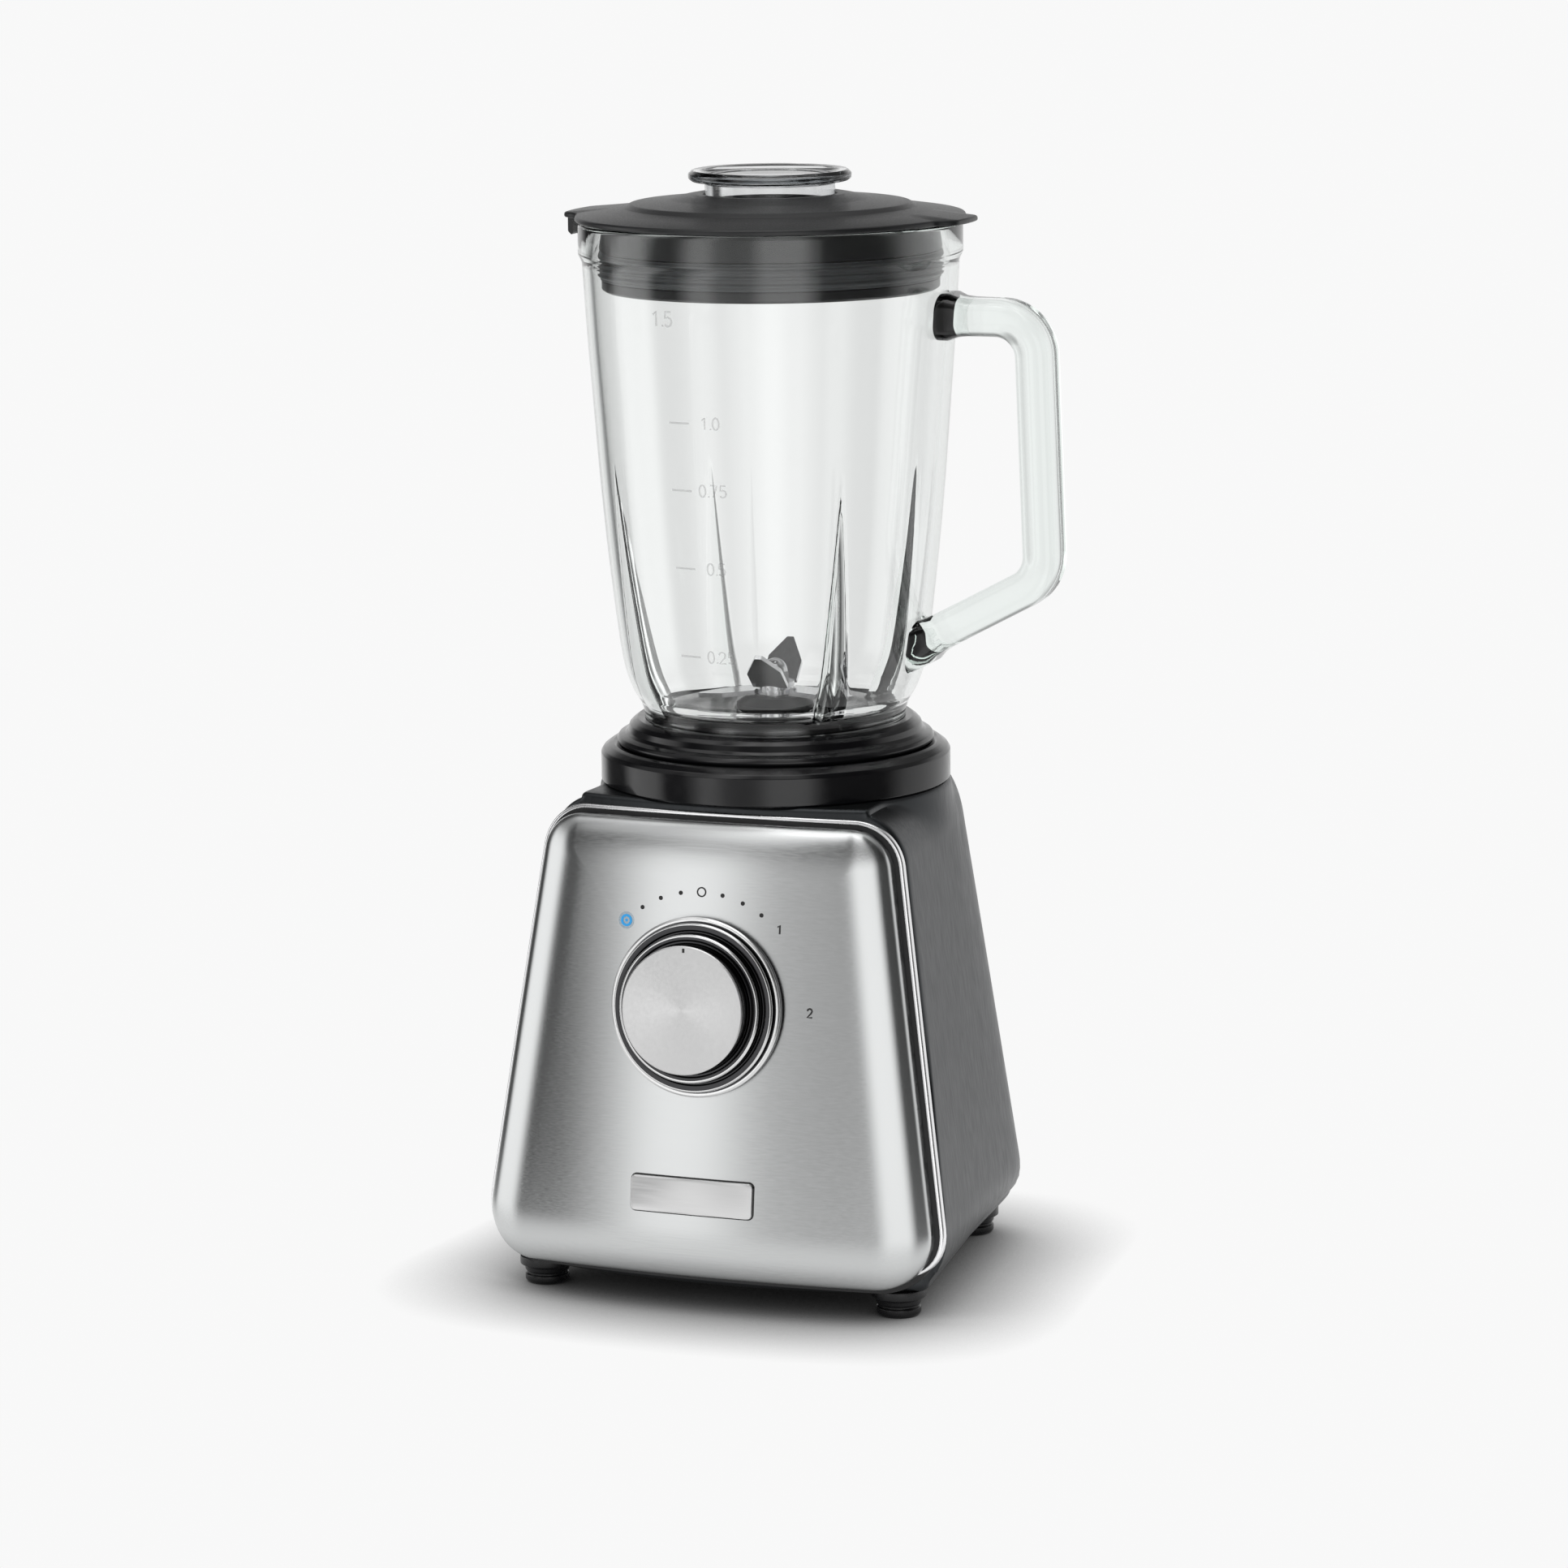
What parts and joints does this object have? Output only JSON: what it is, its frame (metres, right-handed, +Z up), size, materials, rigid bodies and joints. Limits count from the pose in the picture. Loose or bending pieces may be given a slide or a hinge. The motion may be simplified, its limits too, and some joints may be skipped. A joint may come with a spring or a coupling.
{
  "type": "countertop blender",
  "caption": "Countertop blender: a glass jug with handle, lid and filler cap on a screwed blade base, which drops onto a steel-fronted power unit with a rotary dial.",
  "frame": {"origin": "middle of the whole object's box, on the surface it stands on; the drive axis is 10.80 mm to -X and 12.97 mm to +Y of it", "axes": "+Z up along the drive axis, front panel and dial towards -Y, jug handle towards +X, pouring lip towards -X"},
  "size_m": [0.1978, 0.1682, 0.4],
  "materials": {
    "dark_metal": "satin dark grey",
    "front_steel": "horizontally brushed",
    "bright_trim": "polished",
    "black_plastic": "satin black",
    "lid_plastic": "satin charcoal",
    "clear_plastic": "clear, smooth",
    "glass": "clear with green edges",
    "rubber": "matte",
    "seal_grey": "matte silicone",
    "knob_steel": "radially spun",
    "badge_silver": "satin",
    "blade_steel": "ground",
    "plain_steel": "turned",
    "lamination": "laminated steel",
    "copper": "enamelled copper wire",
    "bush_bronze": "sintered",
    "bracket": "die cast",
    "carbon": "carbon",
    "white_plastic": "moulded",
    "coupling_plastic": "glass-filled"
  },
  "bodies": {
    "power_unit": {"housing": "dark_metal", "base_plate": "black_plastic", "base_screws": "plain_steel", "front_panel": "front_steel", "panel_gasket": "black_plastic", "edge_trim": "bright_trim", "seat_collar": "black_plastic", "deck_seal": "rubber", "badge": "badge_silver", "dial_bezel": "bright_trim", "rotary_switch": "black_plastic", "cord_gland": "black_plastic", "motor_stator": "lamination", "field_coils": "copper", "upper_motor_bracket": "bracket", "lower_motor_bracket": "bracket", "upper_bearing": "bush_bronze", "lower_bearing": "bush_bronze", "motor_screws": "plain_steel", "motor_mounts": "rubber", "mount_screws": "plain_steel", "carbon_brushes": "carbon", "brush_holders": "black_plastic", "interlock_switch": "black_plastic", "interlock_spring": "plain_steel", "noise_capacitor": "white_plastic", "thermal_cutout": "black_plastic", "foot_front_left": "rubber", "foot_front_right": "rubber", "foot_back_left": "rubber", "foot_back_right": "rubber"},
    "rotor": {"motor_shaft": "plain_steel", "armature_core": "lamination", "armature_windings": "copper", "commutator": "copper", "cooling_fan": "white_plastic", "drive_coupling": "coupling_plastic"},
    "interlock": {"interlock_pin": "black_plastic"},
    "dial": {"knob": "bright_trim", "knob_cap": "knob_steel", "knob_shaft": "plain_steel"},
    "jug_base": {"blade_base": "black_plastic", "jug_seal": "seal_grey", "blade_bush": "coupling_plastic", "spindle_seal": "rubber"},
    "blades": {"spindle": "blade_steel", "lower_blade": "blade_steel", "upper_blade": "blade_steel", "blade_washers": "blade_steel", "blade_nut": "blade_steel", "driven_coupling": "coupling_plastic"},
    "glass_jug": {"jug": "glass"},
    "lid": {"lid": "lid_plastic", "lid_seal": "seal_grey"},
    "cap": {"filler_cap": "clear_plastic"}
  },
  "joints": [
    {"name": "rotor_spin", "type": "hinge", "parent": "power_unit", "child": "rotor", "pos_m": [-0.0108, 0.01298, 0.12], "axis": [0, 0, 1], "continuous": true},
    {"name": "interlock_press", "type": "slide", "parent": "power_unit", "child": "interlock", "axis": [0, 0, 1], "range_m": [-0.004, 0], "stiffness_N_per_m": 150, "springref_m": 0.005, "deforming": ["interlock_spring"]},
    {"name": "dial_turn", "type": "hinge", "parent": "power_unit", "child": "dial", "pos_m": [-0.0108, -0.06582, 0.1109], "axis": [0, -0.9923, 0.1236], "range_deg": [-90, 45]},
    {"name": "jug_lift", "type": "slide", "parent": "power_unit", "child": "jug_base", "axis": [0, 0, 1], "range_m": [0, 0.12]},
    {"name": "blade_spin", "type": "hinge", "parent": "jug_base", "child": "blades", "pos_m": [-0.0108, 0.01298, 0.2065], "axis": [0, 0, 1], "continuous": true},
    {"name": "jug_unscrew", "type": "hinge", "parent": "jug_base", "child": "glass_jug", "pos_m": [-0.0108, 0.01298, 0.203], "axis": [0, 0, 1], "range_deg": [0, 90]},
    {"name": "lid_lift", "type": "slide", "parent": "glass_jug", "child": "lid", "axis": [0, 0, 1], "range_m": [0, 0.08]},
    {"name": "cap_lift", "type": "slide", "parent": "lid", "child": "cap", "axis": [0, 0, 1], "range_m": [0, 0.05]}
  ],
  "couplings": [
    {"joint": "blade_spin", "follows": "rotor_spin", "ratio": 1}
  ]
}
